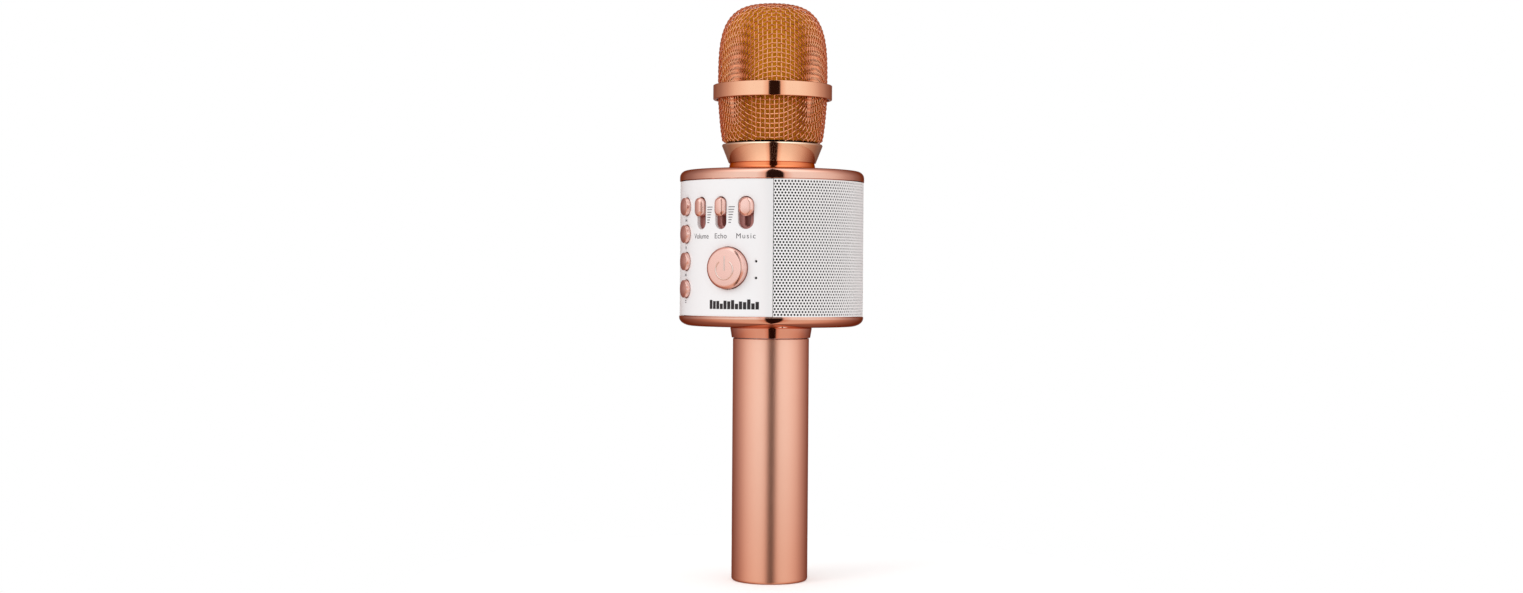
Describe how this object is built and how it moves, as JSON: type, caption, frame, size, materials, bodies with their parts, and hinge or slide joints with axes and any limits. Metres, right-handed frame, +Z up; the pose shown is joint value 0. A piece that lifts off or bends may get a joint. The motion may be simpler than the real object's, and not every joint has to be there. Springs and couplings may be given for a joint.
{
  "type": "karaoke microphone",
  "caption": "Handheld karaoke microphone with a domed wire-mesh head, a drum-shaped loudspeaker housing with slider and push-button controls, and a straight tubular handle.",
  "frame": {"origin": "centre of the handle's flat end face, which the microphone can stand on", "axes": "+Z up the handle to the head; -Y out of the middle of the control panel; +X to the right when the panel is seen from the front"},
  "size_m": [0.083, 0.0865, 0.2593],
  "materials": {
    "rose_chrome": "polished",
    "control_chrome": "polished",
    "rose_satin": "satin",
    "white_shell": "gloss",
    "white_grille": "satin",
    "rose_mesh": "satin",
    "gold_foam": "matte",
    "black_plastic": "satin",
    "steel": "satin",
    "light_alloy": "satin",
    "cell_wrap": "satin",
    "circuit_board": "satin",
    "cone_paper": "matte",
    "soft_rubber": "matte",
    "clear_lens": "gloss"
  },
  "bodies": {
    "housing": {"top_cap": "rose_chrome", "bottom_cap": "rose_chrome", "handle_collar": "rose_chrome", "neck_ring": "rose_chrome", "handle_tube": "rose_satin", "control_panel": "white_shell", "port_panel": "white_shell", "speaker_grille_right": "white_grille", "speaker_grille_left": "white_grille", "battery_cradle": "black_plastic", "control_carrier": "black_plastic", "speaker_chassis": "black_plastic", "audio_jack": "black_plastic", "power_switch": "black_plastic", "button_1_switch": "black_plastic", "button_2_switch": "black_plastic", "button_3_switch": "black_plastic", "button_4_switch": "black_plastic", "body_screw_1": "steel", "body_screw_2": "steel", "body_screw_3": "steel", "body_screw_4": "steel", "battery_spring": "steel", "driver_right": "steel", "driver_left": "steel", "usb_socket": "steel", "mic_capsule": "light_alloy", "handle_stub": "light_alloy", "volume_slide_pot": "light_alloy", "echo_slide_pot": "light_alloy", "music_slide_pot": "light_alloy", "battery_cell": "cell_wrap", "main_board": "circuit_board", "port_board": "circuit_board", "capsule_boot": "soft_rubber", "battery_lead": "soft_rubber", "mic_lead": "soft_rubber", "speaker_lead_right": "soft_rubber", "speaker_lead_left": "soft_rubber", "lamp_upper": "clear_lens", "lamp_lower": "clear_lens"},
    "power": {"power_button": "control_chrome"},
    "button_1": {"button_1": "control_chrome"},
    "button_2": {"button_2": "control_chrome"},
    "button_3": {"button_3": "control_chrome"},
    "button_4": {"button_4": "control_chrome"},
    "volume": {"volume_knob": "control_chrome"},
    "echo": {"echo_knob": "control_chrome"},
    "music": {"music_knob": "control_chrome"},
    "cone_right": {"driver_cone_right": "cone_paper"},
    "cone_left": {"driver_cone_left": "cone_paper"},
    "head_thread": {"head_gasket": "soft_rubber"},
    "head": {"head_collar": "rose_chrome", "grille_ring": "rose_chrome", "grille_basket": "rose_mesh", "grille_dome": "rose_mesh", "dome_foam": "gold_foam", "basket_foam": "gold_foam"}
  },
  "joints": [
    {"name": "power_press", "type": "slide", "parent": "housing", "child": "power", "axis": [-0.2284, 0.9736, 0], "range_m": [0, 0.0007], "stiffness_N_per_m": 600, "springref_m": -0.0005},
    {"name": "button_1_press", "type": "slide", "parent": "housing", "child": "button_1", "axis": [0.4431, 0.8965, 0], "range_m": [0, 0.0005], "stiffness_N_per_m": 400, "springref_m": -0.0005},
    {"name": "button_2_press", "type": "slide", "parent": "housing", "child": "button_2", "axis": [0.4431, 0.8965, 0], "range_m": [0, 0.0005], "stiffness_N_per_m": 400, "springref_m": -0.0005},
    {"name": "button_3_press", "type": "slide", "parent": "housing", "child": "button_3", "axis": [0.4431, 0.8965, 0], "range_m": [0, 0.0005], "stiffness_N_per_m": 400, "springref_m": -0.0005},
    {"name": "button_4_press", "type": "slide", "parent": "housing", "child": "button_4", "axis": [0.4431, 0.8965, 0], "range_m": [0, 0.0005], "stiffness_N_per_m": 400, "springref_m": -0.0005},
    {"name": "volume_slide", "type": "slide", "parent": "housing", "child": "volume", "axis": [0, 0, 1], "range_m": [-0.005, 0]},
    {"name": "echo_slide", "type": "slide", "parent": "housing", "child": "echo", "axis": [0, 0, 1], "range_m": [-0.005, 0]},
    {"name": "music_slide", "type": "slide", "parent": "housing", "child": "music", "axis": [0, 0, 1], "range_m": [-0.005, 0]},
    {"name": "cone_right_stroke", "type": "slide", "parent": "housing", "child": "cone_right", "axis": [1, 0, 0], "range_m": [-0.0006, 0.0006], "stiffness_N_per_m": 1000},
    {"name": "cone_left_stroke", "type": "slide", "parent": "housing", "child": "cone_left", "axis": [-1, 0, 0], "range_m": [-0.0006, 0.0006], "stiffness_N_per_m": 1000},
    {"name": "head_lift", "type": "slide", "parent": "housing", "child": "head_thread", "axis": [0, 0, 1], "range_m": [0, 0.00375]},
    {"name": "head_turn", "type": "hinge", "parent": "head_thread", "child": "head", "pos_m": [0, 0, 0.1913], "axis": [0, 0, 1], "range_deg": [0, 900]}
  ],
  "couplings": [
    {"joint": "head_lift", "follows": "head_turn", "m_per_rad": 0.00023873}
  ]
}
